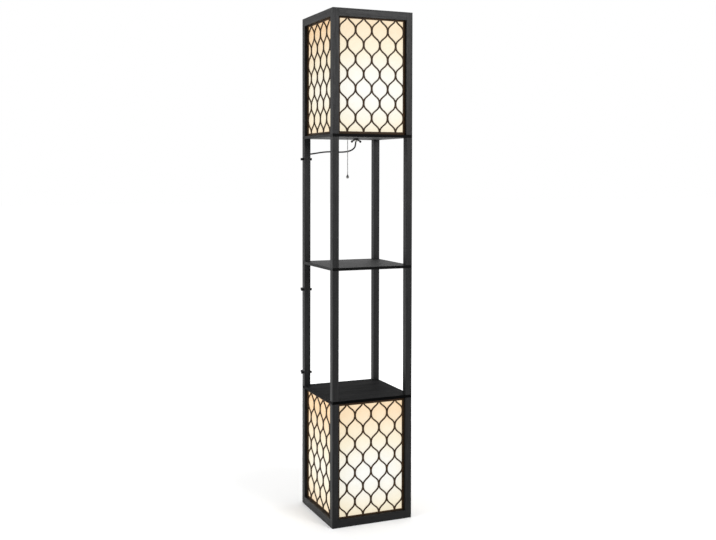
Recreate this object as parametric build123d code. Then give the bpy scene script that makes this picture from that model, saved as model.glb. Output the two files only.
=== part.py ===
"""Two-lantern shelf floor lamp, in millimetres.

Four square posts rise at the corners of a square plan. Three full-size boards cut
each post into four lengths, so the lamp has a lantern at the floor, two open shelf
bays and a lantern at the top. Origin: centre of the footprint on the floor.
+Z is up and the front faces -Y.
"""
from build123d import *
import os
from math import cos, pi, radians, sin, sqrt, tan

os.makedirs("parts", exist_ok=True)

# ---------------------------------------------------------------- driving sizes
frame_width = 270.0         # over the posts, both ways
post_side = 21.0            # square section of every post
lantern_height = 384.0      # each lantern, between the floor, boards and lamp top
tier_height = 402.5         # clear height of each open shelf bay
board_thickness = 9.0       # three shelf boards and the base board
rail_height = 25.0
rail_thickness = 18.0

panel_recess = 10.0         # frame face back to the trellis face
groove_depth = 4.0          # grooves in posts and rails that hold the panels
panel_play = 0.2            # clearance of a panel or tenon in its groove
trellis_thickness = 3.0
diffuser_thickness = 1.0
board_groove_floor = 8.0    # floor up to the groove that carries the base board

stile_reveal = 7.0          # trellis border that shows beside each post
trellis_rail = 8.3          # trellis border along its top and bottom
lattice_line = 4.5          # width of one ogee line
lattice_rise = 4.5          # pattern's middle above the panel's middle
wave_pitch = 54.6           # one ogee cell across
wave_period = 90.0          # one ogee cell up
wave_gap = 0.7              # half the distance left between two lines where they meet
wave_roundness = 0.08       # third harmonic that rounds a cell's sides and draws in its neck
cell_knees = (-42.0, 42.0)   # degrees of the wave where a cell's edge bends

stud_radius = 3.0           # double-ended stud that joins two posts through a board
stud_reach = 22.0           # length of stud inside each post
stud_play = 0.15
bore_end_gap = 1.0          # free depth past the end of a stud

socket_radius = 17.0        # lampholder body
socket_height = 58.0
socket_flange_radius = 21.0
socket_flange = 5.0
socket_flange_edge = 3.0    # upright edge of the flange, below its slope
socket_mouth_radius = 14.2  # bore that takes the bulb's screw cap
socket_mouth_depth = 27.0
socket_rim = 1.5            # bevel round the top
nipple_radius = 5.0
nipple_bore = 3.6
nipple_play = 0.15
nipple_in_socket = 10.0
upper_nipple_drop = 10.0    # below the upper board
lower_nipple_drop = 6.0     # below the base board
locknut_across_flats = 16.0
locknut_height = 3.5

chain_arm = 29.6            # socket axis out to the pull chain
nozzle_height = 40.0        # of the chain nozzle above the board
nozzle_radius = 3.6
nozzle_waist_radius = 4.0   # bell above its mouth
nozzle_mouth_radius = 5.0
nozzle_root = 1.0           # how far the arm starts inside the lampholder's wall
nozzle_mouth_drop = 9.0
chain_bead_radius = 1.6
chain_neck_radius = 0.7
chain_pitch = 4.25
chain_bore = 2.3            # radius of the chain's way through the nozzle
chain_end_room = 1.5        # depth of that way above the nozzle's axis
chain_hole_radius = 4.5     # hole in the upper board
chain_top_rise = 1.0        # chain's upper end above the nozzle's axis
upper_chain_bead_count = 11
first_link_bead_count = 2
hanging_chain_bead_count = 26
chain_joint_gap = 0.3       # between two lengths that swing on each other
knob_radius = 5.0
ferrule_radius = 3.0
ferrule_top_radius = 1.8
ferrule_height = 4.0
knob_overlap = 1.2          # how far the ball rises into the ferrule's skirt

bulb_radius = 30.0
bulb_neck_radius = 14.5
bulb_height = 82.0          # glass above the lampholder
bulb_cap_radius = 13.2
bulb_cap_length = 25.0
bulb_cap_taper = 5.0
bulb_contact_radius = 4.0
bulb_neck_length = 8.0
bulb_rim_gap = 0.3

wing_nut_radius = 8.0
wing_nut_height = 6.5
wing_span = 37.0
wing_drop = 13.8            # from the board to the wing tips
wing_thickness = 4.0
wing_root = 2.5             # how far a wing starts inside the nut's body
wing_shoulder = 0.8         # wing's upper corner out past the body
wing_clearance = 1.2        # wing's upper edge below the board
wing_tip_height = 4.2       # highest point of a wing's outer end above its lowest
wing_tip_corner = 1.6       # straight part of that end, from here up
wing_tip_bevel = 2.8

cord_radius = 2.5
upper_guide_drop = 66.0     # from the upper board down to its guide's middle
middle_guide_drop = 84.5    # from the middle shelf down to its guide's middle
lower_guide_rise = 43.0     # from the lower shelf's top up to its guide's middle
guide_height = 8.0
guide_wall = 1.2
guide_play = 0.2
guide_ear = 8.0
cord_room = 14.4            # depth between the post's back and a guide's back plate

coil_centre_x = -18.0
coil_centre_y = 192.0
coil_mean_radius = 30.0
coil_layers = 2
coil_columns = 4
coil_pitch = 5.2            # from one turn of the lead to the next
coil_entry = 20.0           # straight lead before the first turn
coil_exit = 32.0            # straight lead from the last turn to the plug
floor_lift = 0.5            # under the lead where it lies on the floor

plug_width = 25.0
plug_height = 16.4
plug_length = 27.0
plug_bevel = 4.5
relief_length = 24.0
relief_tip_radius = 3.3
relief_radius = 4.5
blade_width = 6.35
blade_thickness = 1.5
blade_length = 17.0
blade_spacing = 12.7

# ---------------------------------------------------------------- worked-out sizes
half_width = frame_width / 2
opening_width = frame_width - 2 * post_side
groove_width = trellis_thickness + diffuser_thickness + panel_play
panel_tab = groove_depth - panel_play

lower_shelf_z = lantern_height
lower_bay_z = lower_shelf_z + board_thickness
middle_shelf_z = lower_bay_z + tier_height
upper_bay_z = middle_shelf_z + board_thickness
upper_board_z = upper_bay_z + tier_height
upper_lantern_z = upper_board_z + board_thickness
lamp_top_z = upper_lantern_z + lantern_height
base_board_top = board_groove_floor + board_thickness

panel_width = opening_width + 2 * panel_tab
panel_height = lantern_height - rail_height + panel_tab
lower_panel_z = rail_height - groove_depth
upper_guide_z = upper_board_z - upper_guide_drop
middle_guide_z = middle_shelf_z - middle_guide_drop
lower_guide_z = lower_bay_z + lower_guide_rise
wave_swing = wave_pitch / 4 - wave_gap
stud_axis = half_width - post_side / 2

SIDES = ("front", "right", "back", "left")
CORNERS = ("front_left", "front_right", "back_right", "back_left")
LOW = Align.MIN

# Round forms have flat facets, so that the whole lamp stays a light model.
fastener_facets = 8
turned_facets = 12
cord_facets = 6
bead_facets = 6
coil_facets = 24


def save(name, shape):
    """Write one named piece as its own STEP file."""
    shape.label = name
    export_step(shape, f"parts/{name}.step")


def turned(shape, quarter):
    """The same piece at the next corner or side, a quarter turn on."""
    return Rot(0, 0, 90 * quarter) * shape


def block(x0, x1, y0, y1, z0, z1):
    """Box between two corners."""
    return Pos(x0, y0, z0) * Box(x1 - x0, y1 - y0, z1 - z0, align=(LOW, LOW, LOW))


def rod(radius, x, y, z0, z1):
    """Upright rod between two heights."""
    return Pos(x, y, z0) * extrude(RegularPolygon(radius, fastener_facets), z1 - z0)


def faceted(profile, facets):
    """Turned form about Z from its (radius, height) profile, closed flat at both ends."""
    turn = 2 * pi / facets
    rings = []
    for radius, height in profile:
        corners = [(radius * cos(k * turn), radius * sin(k * turn), height) for k in range(facets)]
        rings.append(corners)
    faces = [Face(Wire.make_polygon(rings[0])), Face(Wire.make_polygon(rings[-1]))]
    for lower, upper in zip(rings, rings[1:]):
        for k in range(facets):
            after = (k + 1) % facets
            corners = [lower[k], lower[after], upper[after], upper[k]]
            faces.append(Face(Wire.make_polygon(corners)))
    return Solid(Shell(faces))


def ball_profile(radius, centre_height, first, last, steps):
    """Profile of a ball between two latitudes in degrees."""
    profile = []
    for step in range(steps + 1):
        latitude = radians(first + (last - first) * step / steps)
        profile.append((radius * cos(latitude), centre_height + radius * sin(latitude)))
    return profile


# ---------------------------------------------------------------- frame
def post(z0, height, grooved, bore_below, bore_above):
    """Front-left post. Lantern posts have one panel groove in each inner face."""
    x0 = -half_width
    inner = x0 + post_side
    shape = block(x0, inner, x0, inner, z0, z0 + height)
    if grooved:
        near = x0 + panel_recess
        far = near + groove_width
        shape -= block(inner - groove_depth, inner, near, far, z0, z0 + height)
        shape -= block(near, far, inner - groove_depth, inner, z0, z0 + height)
    bore = stud_reach + bore_end_gap
    if bore_below:
        shape -= rod(stud_radius + stud_play, -stud_axis, -stud_axis, z0, z0 + bore)
    if bore_above:
        top = z0 + height
        shape -= rod(stud_radius + stud_play, -stud_axis, -stud_axis, top - bore, top)
    return shape


def make_posts():
    """Four posts on each of the four levels."""
    levels = (
        ("lower_lantern_post", 0.0, lantern_height, True, False, True),
        ("lower_tier_post", lower_bay_z, tier_height, False, True, True),
        ("upper_tier_post", upper_bay_z, tier_height, False, True, True),
        ("upper_lantern_post", upper_lantern_z, lantern_height, True, True, False),
    )
    for level, z0, height, grooved, below, above in levels:
        shape = post(z0, height, grooved, below, above)
        for quarter, corner in enumerate(CORNERS):
            save(f"{level}_{corner}", turned(shape, quarter))


def make_studs():
    """Twelve studs, one through each corner of each board."""
    studs = []
    for board_z in (lower_shelf_z, middle_shelf_z, upper_board_z):
        low = board_z - stud_reach
        high = board_z + board_thickness + stud_reach
        stud = rod(stud_radius, -stud_axis, -stud_axis, low, high)
        studs += [turned(stud, quarter) for quarter in range(4)]
    save("post_studs", Compound(children=studs))


def board(z0):
    """Full-size shelf board with a stud hole at each corner."""
    shape = block(-half_width, half_width, -half_width, half_width, z0, z0 + board_thickness)
    for quarter in range(4):
        hole = rod(stud_radius + stud_play, -stud_axis, -stud_axis, z0, z0 + board_thickness)
        shape -= turned(hole, quarter)
    return shape


def make_boards():
    """Three shelf boards, and the notched base board held in the bottom rails."""
    save("lower_shelf", board(lower_shelf_z))
    save("middle_shelf", board(middle_shelf_z))
    nipple_hole = nipple_radius + nipple_play
    upper = board(upper_board_z)
    upper -= rod(nipple_hole, 0, 0, upper_board_z, upper_lantern_z)
    upper -= rod(chain_hole_radius, -chain_arm, 0, upper_board_z, upper_lantern_z)
    save("upper_board", upper)

    reach = half_width - rail_thickness + groove_depth - panel_play
    notch = half_width - post_side - panel_play
    base = block(-reach, reach, -reach, reach, board_groove_floor, base_board_top)
    for quarter in range(4):
        corner = block(notch, reach, notch, reach, board_groove_floor, base_board_top)
        base -= turned(corner, quarter)
    base -= rod(nipple_hole, 0, 0, board_groove_floor, base_board_top)
    save("base_board", base)


def rail_blank(z0):
    """Front rail between two posts, with a stub tenon in each post's groove."""
    outer = -half_width
    shape = block(
        -opening_width / 2, opening_width / 2, outer, outer + rail_thickness, z0, z0 + rail_height
    )
    tongue = outer + panel_recess
    shape += block(
        -panel_width / 2, panel_width / 2, tongue, tongue + groove_width - panel_play,
        z0, z0 + rail_height,
    )
    return shape


def bottom_rail():
    """Bottom rail: panel groove in its top edge, base-board groove inside."""
    outer = -half_width
    near = outer + panel_recess
    shape = rail_blank(0)
    shape -= block(
        -half_width, half_width, near, near + groove_width, rail_height - groove_depth, rail_height
    )
    inner = outer + rail_thickness
    shape -= block(
        -half_width, half_width, inner - groove_depth, inner,
        board_groove_floor, base_board_top + panel_play,
    )
    return shape


def top_rail():
    """Top rail: panel groove in its underside."""
    near = -half_width + panel_recess
    z0 = lamp_top_z - rail_height
    shape = rail_blank(z0)
    shape -= block(-half_width, half_width, near, near + groove_width, z0, z0 + groove_depth)
    return shape


def make_rails():
    """Four bottom rails and four top rails."""
    for quarter, side in enumerate(SIDES):
        save(f"bottom_rail_{side}", turned(bottom_rail(), quarter))
        save(f"top_rail_{side}", turned(top_rail(), quarter))


# ---------------------------------------------------------------- ogee trellis panels
def cell_half_width(phase):
    """Half the clear width of an ogee cell, `phase` degrees above its middle.

    Its two edges are waves a quarter pitch from the cell's axis: a cosine less
    its third harmonic. Half a line, measured square to the wave, is taken off.
    """
    angle = radians(phase)
    full = 1 - wave_roundness
    wave = (cos(angle) - wave_roundness * cos(3 * angle)) / full
    steepness = (sin(angle) - 3 * wave_roundness * sin(3 * angle)) / full
    slope = 2 * pi * wave_swing / wave_period * steepness
    centre_line = wave_pitch / 4 + wave_swing * wave
    return centre_line - lattice_line / 2 * sqrt(1 + slope ** 2)


def apex_phase():
    """Phase at which the cell closes to a point, found by halving."""
    open_phase = 90.0
    shut_phase = 180.0
    for _ in range(40):
        middle = (open_phase + shut_phase) / 2
        if cell_half_width(middle) > 0:
            open_phase = middle
        else:
            shut_phase = middle
    return open_phase


def ogee_cell(x, z):
    """Face of one cell: pointed above and below, widest at its middle."""
    rise = wave_period / 360
    apex = apex_phase()
    right = [(x + cell_half_width(knee), z + knee * rise) for knee in cell_knees]
    left = [(x - cell_half_width(knee), z + knee * rise) for knee in reversed(cell_knees)]
    points = [(x, z - apex * rise)] + right + [(x, z + apex * rise)] + left
    return make_face(Polyline(points, close=True))


def trellis_panel():
    """Border and ogee lattice cut from one sheet, standing in XZ on its lower edge.

    Columns of cells stand half a pitch apart, and each second column is half a
    period higher.
    """
    middle = panel_height / 2
    pattern_middle = middle + lattice_rise
    clear_width = opening_width - 2 * stile_reveal
    clear_height = panel_height - 2 * trellis_rail
    window = Pos(0, middle) * Rectangle(clear_width, clear_height)
    columns = int(clear_width / wave_pitch) + 1
    rows = int(clear_height / wave_period / 2) + 1
    sheet = Pos(0, middle) * Rectangle(panel_width, panel_height)
    for column in range(-columns, columns + 1):
        for row in range(-rows, rows + 1):
            x = column * wave_pitch / 2
            z = pattern_middle + (row + 0.5 * (column % 2)) * wave_period
            inside_x = abs(x) < clear_width / 2 + wave_pitch / 2
            inside_z = abs(z - middle) < clear_height / 2 + wave_period / 2
            if inside_x and inside_z:
                sheet -= ogee_cell(x, z) & window
    return Rot(90, 0, 0) * extrude(sheet, trellis_thickness)


def make_panels():
    """Trellis and diffuser on each side of both lanterns, in the same grooves."""
    face = -half_width + panel_recess
    back = face + trellis_thickness
    trellis = Pos(0, back, 0) * trellis_panel()
    diffuser = block(
        -panel_width / 2, panel_width / 2, back, back + diffuser_thickness, 0, panel_height
    )
    for lantern, z0 in (("lower", lower_panel_z), ("upper", upper_lantern_z)):
        for quarter, side in enumerate(SIDES):
            save(f"{lantern}_trellis_{side}", turned(Pos(0, 0, z0) * trellis, quarter))
            save(f"{lantern}_diffuser_{side}", turned(Pos(0, 0, z0) * diffuser, quarter))


# ---------------------------------------------------------------- electrical parts
def lampholder(z0):
    """Screw lampholder standing on a board, with a recess below for its nipple."""
    top = socket_height
    profile = [
        (socket_flange_radius, 0),
        (socket_flange_radius, socket_flange_edge),
        (socket_radius, socket_flange),
        (socket_radius, top - socket_rim),
        (socket_radius - socket_rim, top),
        (socket_mouth_radius, top),
        (socket_mouth_radius, top - socket_mouth_depth),
    ]
    recess = rod(nipple_radius + nipple_play, 0, 0, 0, nipple_in_socket)
    return Pos(0, 0, z0) * (faceted(profile, turned_facets) - recess)


def chain_nozzle(z0):
    """Side arm of the upper lampholder, ending in a bell mouth for the chain."""
    arm_start = socket_radius - nozzle_root
    arm = extrude(RegularPolygon(nozzle_radius, fastener_facets), chain_arm - arm_start)
    arm = Pos(-chain_arm, 0, nozzle_height) * Rot(0, 90, 0) * arm
    mouth = nozzle_height - nozzle_mouth_drop
    profile = [
        (nozzle_mouth_radius, mouth),
        (nozzle_waist_radius, mouth + nozzle_mouth_drop / 2),
        (nozzle_waist_radius, nozzle_height + nozzle_radius),
    ]
    bell = Pos(-chain_arm, 0, 0) * faceted(profile, fastener_facets)
    way = rod(chain_bore, -chain_arm, 0, mouth, nozzle_height + chain_end_room)
    return Pos(0, 0, z0) * (arm + bell - way)


def nipple(z0, z1):
    """Threaded tube that clamps a lampholder to its board and lets the lead out."""
    return rod(nipple_radius, 0, 0, z0, z1) - rod(nipple_bore, 0, 0, z0, z1)


def wing_nut():
    """Wing nut under the upper board, wings flaring down and outward."""
    top = upper_board_z
    tip = wing_span / 2
    root = wing_nut_radius - wing_root
    wing_outline = [
        (root, -wing_clearance),
        (wing_nut_radius + wing_shoulder, -wing_clearance),
        (tip, wing_tip_height - wing_drop),
        (tip, wing_tip_corner - wing_drop),
        (tip - wing_tip_bevel, -wing_drop),
        (root, -wing_nut_height),
    ]
    face = make_face(Polyline(wing_outline, close=True))
    wing = Rot(90, 0, 0) * extrude(face, wing_thickness / 2, both=True)
    shape = faceted(
        [(wing_nut_radius, -wing_nut_height), (wing_nut_radius, 0)], turned_facets
    )
    shape += wing
    shape += Rot(0, 0, 180) * wing
    shape = Pos(0, 0, top) * shape
    return shape - rod(nipple_radius + nipple_play, 0, 0, top - wing_drop, top)


def locknut():
    """Hexagon nut under the base board."""
    hexagon = RegularPolygon(locknut_across_flats / 2, 6, major_radius=False)
    shape = Pos(0, 0, board_groove_floor - locknut_height) * extrude(hexagon, locknut_height)
    hole = rod(nipple_radius + nipple_play, 0, 0, 0, board_groove_floor)
    return shape - hole


def bulb(z0):
    """Pear-shaped bulb: glass on the lampholder's rim, screw cap inside it."""
    rim = socket_height + bulb_rim_gap
    cap_bottom = rim - bulb_cap_length
    profile = [
        (bulb_contact_radius, cap_bottom),
        (bulb_cap_radius, cap_bottom + bulb_cap_taper),
        (bulb_cap_radius, rim),
        (bulb_neck_radius, rim),
        (bulb_neck_radius, rim + bulb_neck_length),
    ]
    profile += ball_profile(bulb_radius, rim + bulb_height - bulb_radius, -40, 80, 5)
    profile.append((bulb_contact_radius, rim + bulb_height))
    return Pos(0, 0, z0) * faceted(profile, turned_facets)


def make_lights():
    """Two lampholders, bulbs, nipples and their nuts."""
    upper = lampholder(upper_lantern_z) + chain_nozzle(upper_lantern_z)
    save("upper_lampholder", upper)
    save("lower_lampholder", lampholder(base_board_top))
    save("upper_bulb", bulb(upper_lantern_z))
    save("lower_bulb", bulb(base_board_top))
    upper_nipple = nipple(upper_board_z - upper_nipple_drop, upper_lantern_z + nipple_in_socket)
    lower_nipple = nipple(board_groove_floor - lower_nipple_drop, base_board_top + nipple_in_socket)
    save("threaded_nipples", Compound(children=[upper_nipple, lower_nipple]))
    save("wing_nut", wing_nut())
    save("locknut", locknut())


# ---------------------------------------------------------------- pull chain
def bead_chain(beads, top_z):
    """Chain of beads hanging from top_z: wide at a bead, thin between two."""
    profile = []
    for step in range(2 * beads + 1):
        radius = chain_bead_radius if step % 2 else chain_neck_radius
        profile.append((radius, -step * chain_pitch / 2))
    return Pos(-chain_arm, 0, top_z) * faceted(profile, bead_facets)


def pull_knob(top_z):
    """Small ferrule with a round metal ball below it."""
    profile = [(ferrule_top_radius, 0), (ferrule_radius, -ferrule_height)]
    centre = knob_overlap - ferrule_height - knob_radius
    profile += ball_profile(knob_radius, centre, 50, -70, 5)
    return Pos(-chain_arm, 0, top_z) * faceted(profile, turned_facets)


def make_chain():
    """Chain in three lengths: drawn by the switch, first links, and hanging run."""
    top = upper_lantern_z + nozzle_height + chain_top_rise
    upper_end = top - upper_chain_bead_count * chain_pitch
    first_top = upper_end - chain_joint_gap
    first_end = first_top - first_link_bead_count * chain_pitch
    hanging_top = first_end - chain_joint_gap
    hanging_end = hanging_top - hanging_chain_bead_count * chain_pitch
    save("switch_chain", bead_chain(upper_chain_bead_count, top))
    save("chain_first_links", bead_chain(first_link_bead_count, first_top))
    save("hanging_chain", bead_chain(hanging_chain_bead_count, hanging_top))
    save("pull_knob", pull_knob(hanging_end))
    print("chain: switch", top, upper_end, "first", first_top, first_end)
    print("chain: hanging", hanging_top, hanging_end)


# ---------------------------------------------------------------- cord and its fittings
lead_low = cord_radius + floor_lift            # lead's centre on the floor
outer_turn = coil_mean_radius + (coil_columns - 1) / 2 * coil_pitch
inner_turn = 2 * coil_mean_radius - outer_turn
upper_turns_z = lead_low + (coil_layers - 1) * coil_pitch
entry_x = coil_centre_x - outer_turn
entry_y = coil_centre_y - coil_entry
exit_y = coil_centre_y + outer_turn

lead_route = [
    (0, 0, upper_lantern_z + nipple_in_socket),
    (0, 0, 1185),
    (-7, 9, 1171),
    (-20, 25, 1164.5),
    (-40, 49, 1163),
    (-60, 75, 1165.5),
    (-80.5, 99.5, 1163.5),
    (-98.2, 122.2, 1159.5),
    (-115.8, 145.8, 1156.5),
    (-120.5, 146.4, 1113),
    (-124.2, 143.8, 1045),
    (-124.2, 142.6, 972),
    (-124.6, 143.1, 898),
    (-124.9, 142.2, 824),
    (-124.5, 140.3, 750),
    (-124.2, 139.6, 676),
    (-124.5, 140.6, 602),
    (-124.9, 140.9, 528),
    (-124.6, 139.8, 454),
    (-124.2, 139.7, 380),
    (-124.1, 141.3, 306),
    (-124.4, 143.2, 232),
    (-124.6, 143.8, 158),
    (-124.4, 143.6, 92),
    (-124.3, 144.1, 46),
    (-124, 145, 20.6),
    (-117.8, 147, 9.4),
    (-107, 148.8, lead_low),
    (-90, 149.9, lead_low),
    (entry_x - 16.1, entry_y - 22, lead_low),
    (entry_x - 5.9, entry_y - 16.1, lead_low),
    (entry_x, entry_y - 5.9, lead_low),
    (entry_x, entry_y, lead_low),
]


def lead_path(points):
    """Straight runs joined by tangent arcs as large as the runs allow."""
    radii = []
    vectors = [Vector(*point) for point in points]
    for before, corner, after in zip(vectors, vectors[1:], vectors[2:]):
        run_in = corner - before
        run_out = after - corner
        half_turn = radians(run_in.get_angle(run_out)) / 2
        shorter = min(run_in.length, run_out.length)
        radii.append(0.45 * shorter / tan(half_turn))
    print("lead radii", [round(radius, 1) for radius in radii])
    return FilletPolyline(*points, radius=radii)


def make_lead():
    """Mains lead from the upper lampholder down the back-left post to its coil."""
    path = lead_path(lead_route)
    section = Plane(path @ 0, z_dir=path % 0) * RegularPolygon(cord_radius, cord_facets)
    tube = sweep(section, path=path)
    expected = section.area * path.length
    print("lead length", round(path.length, 1), "volume ratio", round(tube.volume / expected, 5))
    save("mains_lead", tube)


def coil_ring():
    """Closed ring of the coil's outer shape, standing on Z = 0."""
    outer = outer_turn + cord_radius
    inner = inner_turn - cord_radius
    top = upper_turns_z + cord_radius
    soft = cord_radius
    outer_profile = [(outer - soft, 0), (outer, soft), (outer, top - soft), (outer - soft, top)]
    inner_profile = [(inner + soft, 0), (inner, soft), (inner, top - soft), (inner + soft, top)]
    return faceted(outer_profile, coil_facets) - faceted(inner_profile, coil_facets)


def make_coil():
    """Put-away length of the lead: a round coil, with a straight end at each side."""
    section = RegularPolygon(cord_radius, cord_facets)
    entry = Pos(entry_x, entry_y, lead_low) * Rot(-90, 0, 0) * extrude(section, coil_entry)
    leaving = Pos(coil_centre_x, exit_y, upper_turns_z) * Rot(0, 90, 0) * extrude(section, coil_exit)
    ring = Pos(coil_centre_x, coil_centre_y, 0) * coil_ring()
    save("mains_lead_coil", ring + entry + leaving)
    turns = coil_layers * coil_columns - 0.75
    print("coil length", round(turns * 2 * pi * coil_mean_radius, 1), "turns", turns)


def make_plug():
    """Two-blade plug lying flat, with its tapered relief towards the coil."""
    axis_z = upper_turns_z
    start = coil_centre_x + coil_exit
    relief_profile = [(relief_tip_radius, 0), (relief_radius, relief_length)]
    relief = faceted(relief_profile, fastener_facets)
    shape = Pos(start, exit_y, axis_z) * Rot(0, 90, 0) * relief
    body_start = start + relief_length
    body_end = body_start + plug_length
    body = block(
        body_start, body_end, exit_y - plug_width / 2, exit_y + plug_width / 2,
        axis_z - plug_height / 2, axis_z + plug_height / 2,
    )
    shape += chamfer(body.edges().filter_by(Axis.X), plug_bevel)
    for side in (-1, 1):
        blade_y = exit_y + side * blade_spacing / 2
        shape += block(
            body_end, body_end + blade_length,
            blade_y - blade_thickness / 2, blade_y + blade_thickness / 2,
            axis_z - blade_width / 2, axis_z + blade_width / 2,
        )
    save("mains_plug", shape)


def cord_guide(z):
    """Guide pushed on from behind: back plate, two arms on the post and flared ears."""
    left = -half_width - guide_play
    right = -half_width + post_side + guide_play
    back = half_width + cord_room
    ear_y = half_width - post_side / 2
    z0 = z - guide_height / 2
    z1 = z + guide_height / 2
    shape = block(left - guide_wall, right + guide_wall, back, back + guide_wall, z0, z1)
    shape += block(left - guide_wall, left, ear_y, back + guide_wall, z0, z1)
    shape += block(right, right + guide_wall, ear_y, back + guide_wall, z0, z1)
    shape += block(left - guide_ear, left, ear_y - guide_wall, ear_y, z0, z1)
    shape += block(right, right + guide_ear, ear_y - guide_wall, ear_y, z0, z1)
    return shape


def make_guides():
    """Three guides that keep the lead behind the back-left post."""
    heights = (upper_guide_z, middle_guide_z, lower_guide_z)
    save("cord_guides", Compound(children=[cord_guide(z) for z in heights]))


make_posts()
make_studs()
make_boards()
make_rails()
make_panels()
make_lights()
make_chain()
make_lead()
make_coil()
make_plug()
make_guides()
print("overall height", lamp_top_z)
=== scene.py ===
"""Finish and fine forms of the two-lantern shelf floor lamp, in metres.

The lamp stands on Z = 0 with its front towards -Y. The fixed frame gives every
piece its place, and each piece made here is a surface worked out from a formula.
"""

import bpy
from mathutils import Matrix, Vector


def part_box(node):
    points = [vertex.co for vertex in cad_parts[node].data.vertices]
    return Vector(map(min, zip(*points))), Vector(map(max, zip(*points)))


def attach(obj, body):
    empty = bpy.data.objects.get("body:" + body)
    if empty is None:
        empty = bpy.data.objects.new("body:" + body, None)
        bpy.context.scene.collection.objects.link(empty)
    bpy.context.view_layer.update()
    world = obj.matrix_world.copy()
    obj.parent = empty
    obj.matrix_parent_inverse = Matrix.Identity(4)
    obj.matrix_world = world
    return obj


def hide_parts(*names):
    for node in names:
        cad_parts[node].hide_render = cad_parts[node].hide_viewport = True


bl_info = {
    "name": "Shelf floor lamp",
    "version": (1, 0, 0),
    "blender": (4, 5, 0),
    "location": "3D View > Sidebar > Shelf lamp",
    "description": "Builds the finish and the fine forms of a two-lantern shelf floor lamp",
    "category": "Object",
}

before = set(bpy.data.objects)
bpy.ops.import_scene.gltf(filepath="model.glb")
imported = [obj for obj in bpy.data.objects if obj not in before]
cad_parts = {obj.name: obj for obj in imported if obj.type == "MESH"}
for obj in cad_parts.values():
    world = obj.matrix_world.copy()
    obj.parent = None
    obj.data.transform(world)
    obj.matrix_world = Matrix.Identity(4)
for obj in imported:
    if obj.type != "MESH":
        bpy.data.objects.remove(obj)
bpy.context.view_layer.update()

from math import cos, pi, radians, sin

import bmesh
import bpy
import numpy as np
from bpy.props import FloatProperty, FloatVectorProperty, PointerProperty
from mathutils import Matrix, Vector

SIDES = ("front", "right", "back", "left")
LANTERNS = ("lower", "upper")
MM = 0.001
MERGE = 1e-6        # points closer than this are one


# ---------------------------------------------------------------- settings
def length(name, description, default):
    """A length that a user may change."""
    return FloatProperty(name=name, description=description, default=default, min=0.0, unit="LENGTH")


def number(name, description, default, **kind):
    """A number or an angle that a user may change."""
    return FloatProperty(name=name, description=description, default=default, **kind)


def colour(name, description, default):
    """A colour that a user may change."""
    return FloatVectorProperty(
        name=name, description=description, default=default, min=0.0, max=1.0, subtype="COLOR"
    )


class LampSizes(bpy.types.PropertyGroup):
    """Lengths of the fine forms."""
    wood_edge: length("Wood edge", "Softened edge of posts, boards and rails", 0.6 * MM)
    lattice_line: length("Lattice line", "Width of one ogee line", 4.5 * MM)
    lattice_rise: length("Lattice rise", "Pattern's middle above the panel's middle", 4.5 * MM)
    wave_pitch: length("Wave pitch", "One ogee cell across", 54.6 * MM)
    wave_period: length("Wave period", "One ogee cell up", 90.0 * MM)
    wave_gap: length("Wave gap", "Half the distance between two lines where they meet", 0.7 * MM)
    wave_roundness: number("Wave roundness", "Share of the third harmonic in a wave", 0.08)
    lattice_edge: length("Lattice edge", "Rounding of the lattice towards an opening", 0.8 * MM)
    border_side: length("Side border", "Trellis border beside a post, with its hidden tab", 10.8 * MM)
    border_end: length("End border", "Trellis border along its top and bottom", 8.3 * MM)
    lead_diameter: length("Lead diameter", "Mains lead across its sheath", 5.0 * MM)
    lead_length: length("Lead length", "Mains lead from lampholder to plug", 2.87)
    coil_radius: length("Coil radius", "Middle of the put-away turns", 30.0 * MM)
    coil_pitch: length("Coil pitch", "From one turn of the lead to the next", 5.2 * MM)
    bead_radius: length("Bead radius", "Bead of the pull chain", 1.6 * MM)
    bead_pitch: length("Bead pitch", "From one bead to the next", 4.25 * MM)
    chain_wire: length("Chain wire", "Radius of the wire between two beads", 0.5 * MM)
    knob_radius: length("Knob radius", "Ball at the end of the pull chain", 5.0 * MM)
    bulb_radius: length("Bulb radius", "Round part of the bulb", 30.0 * MM)
    bulb_neck: length("Bulb neck", "Radius of the bulb where it meets the lampholder", 14.5 * MM)
    bulb_height: length("Bulb height", "Glass above the lampholder", 82.0 * MM)
    guide_wall: length("Guide wall", "Thickness of a cord guide", 1.2 * MM)
    guide_height: length("Guide height", "A cord guide along its post", 8.0 * MM)
    upper_guide_drop: length("Upper guide", "From the upper board down to its guide", 66.0 * MM)
    middle_guide_drop: length("Middle guide", "From the middle shelf down to its guide", 84.5 * MM)
    lower_guide_rise: length("Lower guide", "From the lower shelf's top up to its guide", 43.0 * MM)


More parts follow.
